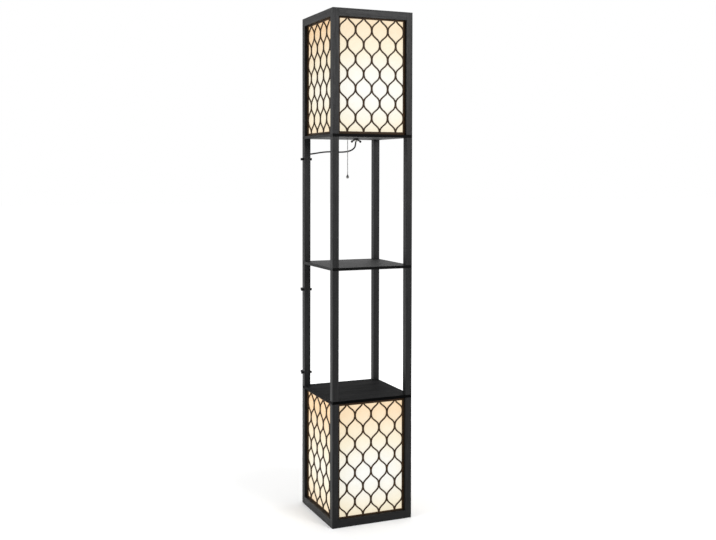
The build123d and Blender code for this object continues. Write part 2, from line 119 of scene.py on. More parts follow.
class LampColours(bpy.types.PropertyGroup):
    """Colours of the finishes."""
    stain_dark: colour("Stain, dark", "Black stain in the pores", (0.0045, 0.0045, 0.0048))
    stain_light: colour("Stain, light", "Black stain on the ridges", (0.014, 0.014, 0.0145))
    trellis_dark: colour("Trellis, dark", "Brown trellis in the pores", (0.016, 0.008, 0.003))
    trellis_light: colour("Trellis, light", "Brown trellis on the ridges", (0.056, 0.029, 0.011))
    paper: colour("Paper", "Unlit diffuser sheet", (0.37, 0.355, 0.315))
    glow_middle: colour("Glow, middle", "Lit sheet nearest the bulb", (0.61, 0.625, 0.615))
    glow_between: colour("Glow, between", "Lit sheet between the two", (0.61, 0.54, 0.385))
    glow_edge: colour("Glow, edge", "Lit sheet far from the bulb", (0.61, 0.33, 0.09))
    bulb_white: colour("Bulb", "Frosted glass", (0.95, 0.93, 0.88))
    bulb_light: colour("Bulb light", "Light of the bulb", (1.0, 0.80, 0.52))
    holder_black: colour("Lampholder", "Moulded lampholder", (0.025, 0.024, 0.023))
    brass: colour("Brass", "Nozzle of the pull chain", (0.70, 0.52, 0.24))
    steel: colour("Plated steel", "Nipples, nuts and studs", (0.55, 0.54, 0.51))
    chrome: colour("Chain", "Plated beads and ball", (0.17, 0.167, 0.163))
    nut_black: colour("Wing nut", "Black painted nut", (0.006, 0.006, 0.006))
    sheath_black: colour("Lead", "Sheath, plug and guides", (0.007, 0.007, 0.0075))
    floor: colour("Floor", "Studio floor", (0.80, 0.80, 0.80))


class LampStage(bpy.types.PropertyGroup):
    """Camera, floor and studio light."""
    camera_place: FloatVectorProperty(
        name="Camera place", description="Where the camera stands", subtype="TRANSLATION",
        default=(-1.24959, -2.93181, 1.09817),
    )
    camera_yaw: number(
        "Camera yaw", "Turn to the right of straight ahead", radians(23.2002), subtype="ANGLE"
    )
    camera_pitch: number("Camera pitch", "Tilt above the level", radians(-1.4978), subtype="ANGLE")
    camera_roll: number("Camera roll", "Lean of the camera", radians(0.0947), subtype="ANGLE")
    focal_length: number("Focal length", "Lens on a 36 mm frame, in millimetres", 49.623)
    lens_rise: number("Lens rise", "Upward shift, as a share of the frame's width", -0.10047)
    floor_reach: length("Floor reach", "Half the floor's side", 30.0)
    floor_lift: number("Floor lift", "Light added to the far floor where the camera sees it", 0.70)
    shadow_lift: number("Shadow lift", "The same close to the lamp, where the shadow stays", 0.21)
    shadow_edge: length("Shadow edge", "From here the floor starts to turn white", 0.5)
    shadow_end: length("Shadow end", "From here the floor is all white", 2.0)
    ambient: number("Ambient", "Light of the white surroundings on matt surfaces", 0.42)


# ---------------------------------------------------------------- surfaces
def grid_faces(rows, columns, wrap_rows, wrap_columns):
    """Quads of a grid of points that is numbered row by row."""
    row = np.arange(rows if wrap_rows else rows - 1)
    column = np.arange(columns if wrap_columns else columns - 1)
    row, column = np.meshgrid(row, column, indexing="ij")
    next_row = (row + 1) % rows
    next_column = (column + 1) % columns
    corners = (
        row * columns + column,
        next_row * columns + column,
        next_row * columns + next_column,
        row * columns + next_column,
    )
    return np.stack(corners, axis=-1).reshape(-1, 4)


def patch(points, wrap_rows=False, wrap_columns=True, finish=0):
    """Points, quads and finish number of one surface on a grid."""
    rows, columns = points.shape[:2]
    faces = grid_faces(rows, columns, wrap_rows, wrap_columns)
    return points.reshape(-1, 3), faces, finish


def points_from(x, y, z):
    """Points of a grid from its three coordinates, each spread over the whole grid."""
    return np.stack(np.broadcast_arrays(x, y, z), axis=-1)


def full_turn(steps):
    """Angles once round, from 0."""
    return np.linspace(0, 2 * pi, steps, endpoint=False)


def capped(points):
    """The same rows, closed at both ends by their middles."""
    first = np.broadcast_to(points[0].mean(axis=0), points[0].shape)
    last = np.broadcast_to(points[-1].mean(axis=0), points[-1].shape)
    return np.concatenate([first[None], points, last[None]])


def revolved(profile, facets):
    """Surface of turning: (r cos a, r sin a, z), where (r, z) is the profile and a the turn."""
    radius, height = np.asarray(profile, float).T[..., None]
    turn = full_turn(facets)
    return points_from(radius * np.cos(turn), radius * np.sin(turn), height)


def along_x(points):
    """A form turned about Z, laid down with its axis along X."""
    return points_from(points[..., 2], points[..., 1], -points[..., 0])


def moved(points, x=0.0, y=0.0, z=0.0):
    """Points moved by three lengths."""
    return points + np.array((x, y, z))


def quarter_turned(points, quarter):
    """Points turned by right angles about the lamp's upright axis."""
    x, y, z = np.moveaxis(points, -1, 0)
    for _ in range(quarter % 4):
        x, y = -y, x
    return points_from(x, y, z)


def arc(centre, radius, first, last, steps):
    """Arc of a (radius, height) profile: centre plus radius times (cos b, sin b)."""
    angle = np.radians(np.linspace(first, last, steps + 1))
    return np.asarray(centre) + radius * np.stack([np.cos(angle), np.sin(angle)], axis=1)


def rounded_bar(low, high, edge, steps=2):
    """Bar with all edges rounded, its length along Z.

    A rectangle of corner centres carries a quarter circle of radius e sin t at each
    corner, and is carried along the bar at height e cos t past its straight part.
    """
    low, high = np.asarray(low, float), np.asarray(high, float)
    middle, half = (low + high) / 2, (high - low) / 2 - edge
    t = np.linspace(0, pi / 2, steps + 1)
    ring = np.concatenate([edge * np.sin(t), edge * np.sin(t[::-1])])
    level = np.concatenate([-half[2] - edge * np.cos(t), half[2] + edge * np.cos(t[::-1])])
    turn = np.concatenate([np.linspace(0, pi / 2, steps + 1) + k * pi / 2 for k in range(4)])
    side_x = np.repeat([1, -1, -1, 1], steps + 1) * half[0]
    side_y = np.repeat([1, 1, -1, -1], steps + 1) * half[1]
    x = side_x + np.outer(ring, np.cos(turn))
    y = side_y + np.outer(ring, np.sin(turn))
    return capped(points_from(x, y, level[:, None]) + middle)


def rounded_route(corners, radius, steps=4):
    """Flat route whose corners are eased by the parabola through (1-t)^2, 2t(1-t), t^2."""
    corners = np.asarray(corners, float)
    before, corner, after = corners[:-2], corners[1:-1], corners[2:]
    start = corner + radius * (before - corner) / np.linalg.norm(before - corner, axis=1)[:, None]
    end = corner + radius * (after - corner) / np.linalg.norm(after - corner, axis=1)[:, None]
    t = np.linspace(0, 1, steps + 1)[None, :, None]
    eased = (1 - t) ** 2 * start[:, None] + 2 * t * (1 - t) * corner[:, None] + t ** 2 * end[:, None]
    return np.concatenate([corners[:1], eased.reshape(-1, 2), corners[-1:]])


def flat_strip(route, thickness, z0, z1, edge):
    """Upright strip: a rounded rectangle carried along a route that lies level."""
    ahead = np.gradient(route, axis=0)
    ahead /= np.linalg.norm(ahead, axis=1)[:, None]
    across = np.stack([-ahead[:, 1], ahead[:, 0]], axis=1)
    t = np.concatenate([np.linspace(0, pi / 2, 4) + k * pi / 2 for k in range(4)])
    side = np.repeat([1, -1, -1, 1], 4) * (thickness / 2 - edge) + edge * np.cos(t)
    level = np.repeat([1, 1, -1, -1], 4) * ((z1 - z0) / 2 - edge) + edge * np.sin(t) + (z0 + z1) / 2
    plan = route[:, None] + across[:, None] * side[None, :, None]
    return capped(points_from(plan[..., 0], plan[..., 1], level))


def joined_mesh(name, patches):
    """One mesh from several patches, each face with its patch's finish number."""
    points, faces, numbers, count = [], [], [], 0
    for patch_points, patch_faces, finish in patches:
        points.append(patch_points)
        faces.append(patch_faces + count)
        numbers.append(np.full(len(patch_faces), finish, np.int32))
        count += len(patch_points)
    mesh = bpy.data.meshes.new(name)
    mesh.from_pydata(np.concatenate(points), [], np.concatenate(faces).tolist())
    mesh.polygons.foreach_set("material_index", np.concatenate(numbers))
    return mesh


def close_mesh(mesh, crease):
    """Merge seams and poles, turn faces outwards, and shade smooth up to a crease in degrees."""
    shell = bmesh.new()
    shell.from_mesh(mesh)
    bmesh.ops.remove_doubles(shell, verts=shell.verts, dist=MERGE)
    bmesh.ops.dissolve_degenerate(shell, edges=shell.edges, dist=MERGE / 10)
    bmesh.ops.recalc_face_normals(shell, faces=shell.faces)
    shell.to_mesh(mesh)
    shell.free()
    mesh.shade_smooth()
    mesh.set_sharp_from_angle(angle=radians(crease))


def make_piece(name, patches, finishes, body="lamp", replaced=(), crease=35):
    """One closed object from its patches, in its finishes."""
    mesh = joined_mesh(name, patches)
    for finish in finishes:
        mesh.materials.append(finish)
    close_mesh(mesh, crease)
    return add_piece(name, mesh, body, replaced)


def new_object(name, data):
    """Object in the scene, at the origin."""
    made = bpy.data.objects.new(name, data)
    bpy.context.scene.collection.objects.link(made)
    return made


def add_piece(name, data, body="lamp", replaced=()):
    """Object at the origin that rides on a body and stands for its plain nodes."""
    piece = new_object(name, data)
    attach(piece, body)
    if replaced:
        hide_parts(*replaced)
    return piece


# ---------------------------------------------------------------- finishes
def new_finish(name, constants):
    """Material with its node tree and its shader, whose constant inputs are set by name."""
    material = bpy.data.materials.new(name)
    material.use_nodes = True
    shader = material.node_tree.nodes["Principled BSDF"]
    for socket, value in constants.items():
        shader.inputs[socket].default_value = value
    return material, material.node_tree, shader


def feed(shader, sockets):
    """Link values that vary over the surface into a shader's inputs, by name."""
    for socket, value in sockets.items():
        shader.id_data.links.new(value, shader.inputs[socket])


def toned(base, share):
    """A colour made lighter or darker by a share."""
    return [min(1.0, share * part) for part in base]


def add_node(tree, kind, inputs=(), **settings):
    """Node with its settings, and its inputs as values or as sockets to link from."""
    node = tree.nodes.new(kind)
    for setting, value in settings.items():
        setattr(node, setting, value)
    for socket, value in dict(inputs).items():
        if isinstance(value, bpy.types.NodeSocket):
            tree.links.new(value, node.inputs[socket])
        else:
            node.inputs[socket].default_value = value
    return node


def object_place(tree, scale=(1, 1, 1), shift=(0, 0, 0)):
    """Object coordinates, scaled and shifted."""
    place = add_node(tree, "ShaderNodeTexCoord").outputs["Object"]
    mapping = add_node(tree, "ShaderNodeMapping", {"Vector": place, "Scale": scale, "Location": shift})
    return mapping.outputs["Vector"]


def noise(tree, place, scale, detail=4.0, roughness=0.55):
    """Noise value over a place."""
    inputs = {"Vector": place, "Scale": scale, "Detail": detail, "Roughness": roughness}
    return add_node(tree, "ShaderNodeTexNoise", inputs).outputs["Fac"]


def remap(tree, value, low, high, to_low=0.0, to_high=1.0):
    """Value stretched from one range to another and held inside it."""
    inputs = {"Value": value, "From Min": low, "From Max": high, "To Min": to_low, "To Max": to_high}
    return add_node(tree, "ShaderNodeMapRange", inputs).outputs["Result"]


def blend_colours(tree, share, first, second):
    """Colour between two, by a share from 0 to 1."""
    mix = add_node(tree, "ShaderNodeMix", data_type="RGBA")
    tree.links.new(share, mix.inputs["Factor"])
    for socket, value in (("A", first), ("B", second)):
        target = [s for s in mix.inputs if s.name == socket and s.type == "RGBA"][0]
        if isinstance(value, bpy.types.NodeSocket):
            tree.links.new(value, target)
        else:
            target.default_value = (*value, 1)
    return [s for s in mix.outputs if s.type == "RGBA"][0]


def calculate(tree, operation, *values):
    """One step of arithmetic on one to three values."""
    return add_node(tree, "ShaderNodeMath", dict(enumerate(values)), operation=operation).outputs[0]


def distance(tree, place):
    """Distance of a place from its origin."""
    return add_node(tree, "ShaderNodeVectorMath", {0: place}, operation="LENGTH").outputs["Value"]


def add_bump(tree, shader, height, strength, depth):
    """Relief of a finish, as deep as `depth` in metres."""
    inputs = {"Height": height, "Strength": strength, "Distance": depth}
    feed(shader, {"Normal": add_node(tree, "ShaderNodeBump", inputs).outputs["Normal"]})


def wood_finish(name, grain, dark, light, roughness, gloss=0.15):
    """Open-pored wood: streaks and pores drawn out along the grain, one of X, Y or Z."""
    material, tree, shader = new_finish(name, {"Specular IOR Level": gloss})
    streak_draw, pore_draw = 0.045, 0.02        # how much less the grain changes along than across
    drawn = [1.0, 1.0, 1.0]
    drawn["XYZ".index(grain)] = streak_draw
    place = object_place(tree, scale=drawn)
    streaks = noise(tree, place, scale=330.0, detail=5.0, roughness=0.6)
    bands = noise(tree, place, scale=60.0, detail=3.0, roughness=0.5)
    drawn["XYZ".index(grain)] = pore_draw
    pore_place = object_place(tree, scale=drawn, shift=(0.3, 0.1, 0.2))
    pores = noise(tree, pore_place, scale=1400.0, detail=2.0, roughness=0.5)
    open_pore = remap(tree, pores, 0.56, 0.66)
    tone = calculate(tree, "MULTIPLY_ADD", streaks, 0.65, calculate(tree, "MULTIPLY", bands, 0.35))
    ridge = remap(tree, tone, 0.36, 0.66)
    shade = calculate(tree, "MULTIPLY", ridge, remap(tree, open_pore, 0.0, 1.0, 1.0, 0.35))
    feed(shader, {
        "Base Color": blend_colours(tree, shade, dark, light),
        "Roughness": remap(tree, shade, 0.0, 1.0, roughness + 0.12, roughness),
    })
    relief = calculate(tree, "SUBTRACT", ridge, open_pore)
    add_bump(tree, shader, relief, strength=0.35, depth=0.15 * MM)
    return material


def board_finish(name, dark, light, reach, roughness, gloss=0.15):
    """Stained board, matt and darker on its front and back edges, `reach` from its middle."""
    material = wood_finish(name, "X", dark, light, roughness, gloss)
    tree = material.node_tree
    shader = tree.nodes["Principled BSDF"]
    place = add_node(tree, "ShaderNodeSeparateXYZ", {0: object_place(tree)})
    far = calculate(tree, "ABSOLUTE", place.outputs["Y"])
    edge = remap(tree, far, reach - 0.7 * MM, reach - 0.2 * MM)
    stain = shader.inputs["Base Color"].links[0].from_socket
    rough = shader.inputs["Roughness"].links[0].from_socket
    feed(shader, {
        "Base Color": blend_colours(tree, edge, stain, toned(dark, 0.4)),
        "Roughness": calculate(tree, "MAXIMUM", rough, edge),
    })
    return material


def moulded_finish(name, base, roughness):
    """Moulded plastic or paint: faint mottling and a fine skin."""
    material, tree, shader = new_finish(name, {"Specular IOR Level": 0.15})
    place = object_place(tree)
    mottle = noise(tree, place, scale=75.0, detail=3.0)
    skin = noise(tree, place, scale=900.0, detail=2.0)
    share = remap(tree, mottle, 0.35, 0.65)
    feed(shader, {
        "Base Color": blend_colours(tree, share, toned(base, 0.72), toned(base, 1.25)),
        "Roughness": remap(tree, skin, 0.3, 0.7, roughness - 0.06, roughness + 0.06),
    })
    add_bump(tree, shader, skin, strength=0.3, depth=0.05 * MM)
    return material


def metal_finish(name, base, roughness):
    """Plated metal: bright, with faint dull patches and fine drawn marks."""
    material, tree, shader = new_finish(name, {"Metallic": 1.0})
    place = object_place(tree, scale=(1, 1, 0.4))
    marks = noise(tree, place, scale=1800.0, detail=3.0)
    patches = noise(tree, place, scale=180.0, detail=2.0)
    share = remap(tree, patches, 0.35, 0.65)
    feed(shader, {
        "Base Color": blend_colours(tree, share, toned(base, 0.8), base),
        "Roughness": remap(tree, marks, 0.3, 0.7, roughness, roughness + 0.12),
    })
    add_bump(tree, shader, marks, strength=0.15, depth=0.02 * MM)
    return material


# ---------------------------------------------------------------- stage
def stage_camera(stage):
    """Camera at the picture's place: turned, tilted and leaned in that order."""
    yaw, pitch, roll = stage.camera_yaw, stage.camera_pitch, stage.camera_roll
    ahead = Vector((sin(yaw) * cos(pitch), cos(yaw) * cos(pitch), sin(pitch)))
    level = Vector((cos(yaw), -sin(yaw), 0.0))
    upright = level.cross(ahead)
    right = level * cos(roll) + upright * sin(roll)
    up = upright * cos(roll) - level * sin(roll)
    data = bpy.data.cameras.new("camera")
    data.sensor_width = 36.0
    data.lens = stage.focal_length
    data.shift_y = stage.lens_rise
    data.clip_end = 200.0
    camera = new_object("camera", data)
    turn = Matrix((right, up, -ahead)).transposed().to_4x4()
    camera.matrix_world = Matrix.Translation(stage.camera_place) @ turn
    bpy.context.scene.camera = camera


def seen_share(tree):
    """1 for what the camera sees directly, in a mirror or through glass, and 0 for light."""
    path = add_node(tree, "ShaderNodeLightPath")
    direct = calculate(tree, "MAXIMUM", path.outputs["Is Camera Ray"], path.outputs["Is Glossy Ray"])
    return calculate(tree, "MAXIMUM", direct, path.outputs["Is Transmission Ray"])


def stage_floor(stage, floor_colour):
    """White floor that keeps the lamp's shadow."""
    reach = stage.floor_reach
    corners = [(-reach, -reach, 0), (reach, -reach, 0), (reach, reach, 0), (-reach, reach, 0)]
    mesh = bpy.data.meshes.new("floor")
    mesh.from_pydata(corners, [], [(0, 1, 2, 3)])
    material, tree, shader = new_finish("studio_floor", {
        "Base Color": (*floor_colour, 1), "Roughness": 0.9, "Specular IOR Level": 0.0,
        "Emission Color": (1, 1, 1, 1),
    })
    far = distance(tree, object_place(tree))
    whiter = remap(tree, far, stage.shadow_edge, stage.shadow_end, stage.shadow_lift, stage.floor_lift)
    feed(shader, {"Emission Strength": calculate(tree, "MULTIPLY", seen_share(tree), whiter)})
    mesh.materials.append(material)
    new_object("floor", mesh)


def stage_surroundings(stage):
    """White surroundings, dimmer as a light than as they look."""
    world = bpy.data.worlds.new("surroundings")
    bpy.context.scene.world = world
    world.use_nodes = True
    tree = world.node_tree
    background = tree.nodes["Background"]
    background.inputs["Color"].default_value = (1, 1, 1, 1)
    strength = remap(tree, seen_share(tree), 0.0, 1.0, stage.ambient, 1.0)
    tree.links.new(strength, background.inputs["Strength"])


def softbox(name, place, target, width, height, power):
    """Soft rectangular studio lamp turned towards a point."""
    data = bpy.data.lights.new(name, "AREA")
    data.shape = "RECTANGLE"
    data.size = width
    data.size_y = height
    data.energy = power
    lamp = new_object(name, data)
    aim = Vector(target) - Vector(place)
    lamp.matrix_world = Matrix.Translation(place) @ aim.to_track_quat("-Z", "Y").to_matrix().to_4x4()
    lamp.visible_camera = False


# Name, place, the point it is turned to, width, height and watts.
SOFTBOXES = (
    ("front_softbox", (1.1, -2.9, 2.0), (0, 0, 1.4), 1.2, 1.2, 60.0),
    ("left_softbox", (-2.2, -0.5, 0.5), (0, 0, 0.45), 0.9, 1.2, 34.0),
    ("top_softbox", (0.2, 0.3, 3.4), (0, 0, 0), 1.6, 1.6, 60.0),
)


class LAMP_OT_stage(bpy.types.Operator):
    """Camera, white floor, surroundings and soft studio light"""
    bl_idname = "lamp.stage"
    bl_label = "Stage"

    def execute(self, context):
        stage = context.scene.lamp_stage
        stage_camera(stage)
        stage_floor(stage, context.scene.lamp_colours.floor)
        stage_surroundings(stage)
        for settings in SOFTBOXES:
            softbox(*settings)
        context.scene.view_settings.view_transform = "Standard"
        return {"FINISHED"}


# ---------------------------------------------------------------- mains lead and plug
# The lead's route in millimetres, from the nipple down behind the post to its coil.
LEAD_ROUTE_MM = [
    (0, 0, 1226),
    (0, 0, 1185),
    (-7, 9, 1171),
    (-20, 25, 1164.5),
    (-40, 49, 1163),
    (-60, 75, 1165.5),
    (-80.5, 99.5, 1163.5),
    (-98.2, 122.2, 1159.5),
    (-115.8, 145.8, 1156.5),
    (-120.5, 146.4, 1113),
    (-124.2, 143.8, 1045),
    (-124.2, 142.6, 972),
    (-124.6, 143.1, 898),
    (-124.9, 142.2, 824),
    (-124.5, 140.3, 750),
    (-124.2, 139.6, 676),
    (-124.5, 140.6, 602),
    (-124.9, 140.9, 528),
    (-124.6, 139.8, 454),
    (-124.2, 139.7, 380),
    (-124.1, 141.3, 306),
    (-124.4, 143.2, 232),
    (-124.6, 143.8, 158),
    (-124.4, 143.6, 92),
    (-124.3, 144.1, 46),
    (-124, 145, 20.6),
    (-117.8, 147, 9.4),
    (-107, 148.8, 3),
    (-90, 149.9, 3),
    (-71.9, 150, 3),
    (-61.7, 155.9, 3),
    (-55.8, 166.1, 3),
    (-55.8, 172, 3),
]
COIL_CENTRE = (-18 * MM, 192 * MM)
COIL_COLUMNS = 4
COIL_POINTS = 16            # points of the lead in one turn
COIL_STEP = 0.16            # share of a turn in which the lead steps over to the next
UPPER_STEP = (0.5, 0.68)    # where the upper layer steps over


def eased(value, start, end):
    """0 before start, 1 after end, and 3t^2 - 2t^3 between them."""
    t = np.clip((value - start) / (end - start), 0, 1)
    return t * t * (3 - 2 * t)


def coil_turns(sizes, low):
    """Lead's points in its coil: (x, y) = centre + r (cos a, sin a), wound clockwise.

    The lower layer is wound from outside in and the upper one from inside out. Each
    turn runs level on its own radius and steps over to the next in a sixth of a turn.
    """
    pitch = sizes.coil_pitch
    outer = sizes.coil_radius + (COIL_COLUMNS - 1) / 2 * pitch
    inner = 2 * sizes.coil_radius - outer
    last_turn = 2 * COIL_COLUMNS - 0.75
    turn = np.arange(0, last_turn + 0.5 / COIL_POINTS, 1 / COIL_POINTS)
    whole, part = np.floor(turn), turn % 1
    inward = whole + eased(part, 1 - COIL_STEP, 1.0)
    outward = whole - COIL_COLUMNS + eased(part, *UPPER_STEP)
    below = turn < COIL_COLUMNS - COIL_STEP
    radius = np.where(below, outer - np.minimum(inward, COIL_COLUMNS - 1) * pitch, inner + outward * pitch)
    radius = np.where((turn >= COIL_COLUMNS - 0.4) & (turn <= COIL_COLUMNS), inner, radius)
    level = low + pitch * eased(turn, COIL_COLUMNS - 2 * COIL_STEP, COIL_COLUMNS - COIL_STEP)
    radius = radius / cos(pi / COIL_POINTS)
    angle = pi - 2 * pi * turn
    x = COIL_CENTRE[0] + radius * np.cos(angle)
    y = COIL_CENTRE[1] + radius * np.sin(angle)
    return points_from(x, y, level)


def lead_curve(sizes, end):
    """Smooth line of the lead: its route, its coil and the straight end to the plug."""
    route = np.array(LEAD_ROUTE_MM) * MM
    turns = coil_turns(sizes, route[-1][2])
    leaving = np.linspace(turns[-1], end, 4)[1:]
    points = np.concatenate([route, turns, leaving])
    curve = bpy.data.curves.new("mains_lead_sheath", "CURVE")
    curve.dimensions = "3D"
    spline = curve.splines.new("NURBS")
    spline.points.add(len(points) - 1)
    spline.points.foreach_set("co", np.column_stack([points, np.ones(len(points))]).ravel())
    spline.order_u = 3
    spline.use_endpoint_u = True
    spline.resolution_u = 8
    curve.bevel_depth = sizes.lead_diameter / 2
    curve.bevel_resolution = 3
    curve.use_fill_caps = True
    return curve


def relief_surface(reach, tip, root):
    """Tapered relief: turned profile whose radius dips six times on its way to the plug."""
    dips, dip_depth = 6, 0.7 * MM
    first_dip, last_dip = 0.08, 0.94
    share = np.linspace(0, 1, 61)
    radius = tip + (root - tip) * share
    dip = dip_depth * np.clip(np.cos(2 * pi * dips * share), 0, 1) ** 2
    dip *= (share > first_dip) & (share < last_dip)
    return capped(along_x(revolved(np.stack([radius - dip, reach * share], axis=1), 24)))


def plug_body_surface(low, high, neck):
    """Plug body: rounded rectangles |y/a|^n + |z/b|^n = 1 carried from neck to face.

    Along it the half sides swell by a quarter sine, draw in at a waist by a squared
    sine, and draw in at the lip by a quarter circle. n grows with the swell.
    """
    swell_end, waist_start, waist_reach, lip_start = 0.42, 0.3, 0.55, 0.93
    waist_depth, lip_depth = 0.07, 0.10
    share = np.concatenate([np.linspace(0, 0.9, 22), np.linspace(lip_start, 1.0, 8)])
    half_y, half_z = (high[1] - low[1]) / 2, (high[2] - low[2]) / 2
    swell = np.sin(np.clip(share / swell_end, 0, 1) * pi / 2)
    waist = 1 - waist_depth * np.sin(np.clip((share - waist_start) / waist_reach, 0, 1) * pi) ** 2
    past_lip = np.clip((share - lip_start) / (1 - lip_start), 0, 1)
    drawn = 1 - lip_depth * (1 - np.sqrt(1 - past_lip ** 2))
    a = (neck + (half_y - neck) * swell) * waist * drawn
    b = (neck + (half_z - neck) * swell) * drawn
    turn = full_turn(48)
    power = 2 / (2.2 + 2.2 * swell)[:, None]
    x = low[0] + share[:, None] * (high[0] - low[0])
    y = a[:, None] * np.sign(np.cos(turn)) * np.abs(np.cos(turn)) ** power
    z = b[:, None] * np.sign(np.sin(turn)) * np.abs(np.sin(turn)) ** power
    return capped(points_from(x, y + (low[1] + high[1]) / 2, z + (low[2] + high[2]) / 2))


def blade_surface(x0, x1, y, z, width, thickness):
    """Blade round its hole: from the hole's circle out to a rectangle with a drawn-in tip.

    In direction a the rectangle lies at the least of L/|cos a| and W/|sin a|.
    """
    hole_place, hole_radius, bevel = 0.68, 1.6 * MM, 0.25 * MM
    tip_start, tip_drawn = 0.55, 0.28
    hole_x = x0 + hole_place * (x1 - x0)
    turn = full_turn(48) + pi / 48
    c, s = np.cos(turn), np.sin(turn)
    ahead = np.where(c > 0, x1 - hole_x, hole_x - x0) / np.maximum(np.abs(c), 1e-6)
    reach = np.minimum(ahead, width / 2 / np.maximum(np.abs(s), 1e-6))
    edge_x, edge_z = reach * c, reach * s
    tip = np.clip((edge_x / (x1 - hole_x) - tip_start) / (1 - tip_start), 0, 1)
    edge_z = edge_z * (1 - tip_drawn * tip ** 2)
    hole = hole_radius * np.stack([c, s])
    rim = np.stack([edge_x, edge_z])
    bevelled = rim * (1 - bevel / reach)
    outlines = np.stack([hole, bevelled, rim, bevelled, hole], axis=1)
    depth = np.array((1, 1, 0, -1, -1))[:, None] * thickness / 2
    return points_from(hole_x + outlines[0], y + depth, z + outlines[1])


PLUG_MM = {
    "relief": 24.0,             # length of the tapered relief before the body
    "relief_tip": 3.3,          # radii of the relief at the lead and at the body
    "relief_root": 4.6,
    "neck": 4.4,                # radius of the body where it leaves the relief
    "blade": 17.0,              # length of the blades past the face
    "blade_width": 6.35,
    "blade_thickness": 1.5,
    "blade_offset": 6.35,       # from the plug's middle to a blade's
    "tuck": 1.0,                # how far one form reaches into the next
}


class LAMP_OT_mains_lead(bpy.types.Operator):
    """Mains lead down the back-left post, its coil and its plug"""
    bl_idname = "lamp.mains_lead"
    bl_label = "Mains lead"

    def execute(self, context):
        sizes, colours = context.scene.lamp_sizes, context.scene.lamp_colours
        low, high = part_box("mains_plug")
        plug = {name: size * MM for name, size in PLUG_MM.items()}
        axis_y, axis_z = (low.y + high.y) / 2, (low.z + high.z) / 2
        sheath = moulded_finish("lead_sheath", colours.sheath_black, roughness=0.42)
        blade_metal = metal_finish("plug_blades", colours.brass, roughness=0.28)
        face_x, neck_x = high.x - plug["blade"], low.x + plug["relief"]
        relief = relief_surface(plug["relief"] + plug["tuck"], plug["relief_tip"], plug["relief_root"])
        body = plug_body_surface((neck_x, low.y, low.z), (face_x, high.y, high.z), plug["neck"])
        patches = [patch(moved(relief, low.x, axis_y, axis_z)), patch(body)]
        for side in (-1, 1):
            blade = blade_surface(
                face_x - plug["tuck"], high.x, axis_y + side * plug["blade_offset"], axis_z,
                plug["blade_width"], plug["blade_thickness"],
            )
            patches.append(patch(blade, wrap_rows=True, finish=1))
        plug_piece = make_piece(
            "moulded_plug", patches, [sheath, blade_metal], replaced=["mains_plug"]
        )
        curve = lead_curve(sizes, np.array((low.x + plug["tuck"], axis_y, axis_z)))
        curve.materials.append(sheath)
        lead = add_piece(
            "mains_lead_sheath", curve, replaced=["mains_lead", "mains_lead_coil"]
        )
        return {"FINISHED"}


# ---------------------------------------------------------------- frame
def soften(piece, width):
    """Merge a plain node's loose triangles and soften its edges."""
    weld = piece.modifiers.new("weld", "WELD")
    weld.merge_threshold = MERGE
    bevel = piece.modifiers.new("soft_edge", "BEVEL")
    bevel.width = width
    bevel.segments = 2
    bevel.limit_method = "ANGLE"
    bevel.angle_limit = radians(40)


def dress(name, finish):
    """Give a frame node its finish."""
    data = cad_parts[name].data
    data.materials.clear()
    data.materials.append(finish)
    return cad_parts[name]


class LAMP_OT_frame(bpy.types.Operator):
    """Stained posts, boards and rails with softened edges"""
    bl_idname = "lamp.frame"
    bl_label = "Frame"

    def execute(self, context):
        sizes, colours = context.scene.lamp_sizes, context.scene.lamp_colours
        stain = colours.stain_dark, colours.stain_light
        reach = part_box("middle_shelf")[1].y
        woods = {
            grain: wood_finish(f"stained_wood_{grain}", grain, *stain, roughness=0.36)
            for grain in "XYZ"
        }
        woods["board"] = board_finish("stained_board", *stain, reach, roughness=0.48)
        # Painted shade: the lower shelf gets its own copy of the board finish, with less gloss and more
        # roughness, so that it renders darker where the middle shelf keeps the light from above off it.
        woods["shaded_lower_board"] = board_finish("shaded_lower_board", *stain, reach, roughness=0.66, gloss=0.04)
        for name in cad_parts:
            if "_post_" in name:
                grain = "Z"
            elif "_rail_" in name:
                grain = "X" if name.endswith(("front", "back")) else "Y"
            # The lower shelf takes the darker copy of the board finish: painted shade.
            elif name == "lower_shelf":
                grain = "shaded_lower_board"
            elif name.endswith(("shelf", "board")):
                grain = "board"
            else:
                continue
            soften(dress(name, woods[grain]), sizes.wood_edge)
        return {"FINISHED"}


# ---------------------------------------------------------------- trellis panels
def apex_angle(sizes, swing):
    """Phase at which an opening closes to a point, by halving."""
    low, high = pi / 2, pi
    for _ in range(40):
        middle = (low + high) / 2
        if opening_half(sizes, swing, np.array(middle)) > 0:
            low = middle
        else:
            high = middle
    return low


def line_place(sizes, swing, phase):
    """Wave's distance from its cell's axis: q/4 + s (cos p - k cos 3p) / (1 - k)."""
    k = sizes.wave_roundness
    return sizes.wave_pitch / 4 + swing * (np.cos(phase) - k * np.cos(3 * phase)) / (1 - k)


def line_slope(sizes, swing, phase):
    """Lean of a wave at a phase, the slope of its formula."""
    k = sizes.wave_roundness
    return 2 * pi * swing / sizes.wave_period * (np.sin(phase) - 3 * k * np.sin(3 * phase)) / (1 - k)


def opening_half(sizes, swing, phase):
    """Half an opening across: the wave's place less half a line measured square to it."""
    lean = np.sqrt(1 + line_slope(sizes, swing, phase) ** 2)
    return line_place(sizes, swing, phase) - sizes.lattice_line / 2 * lean


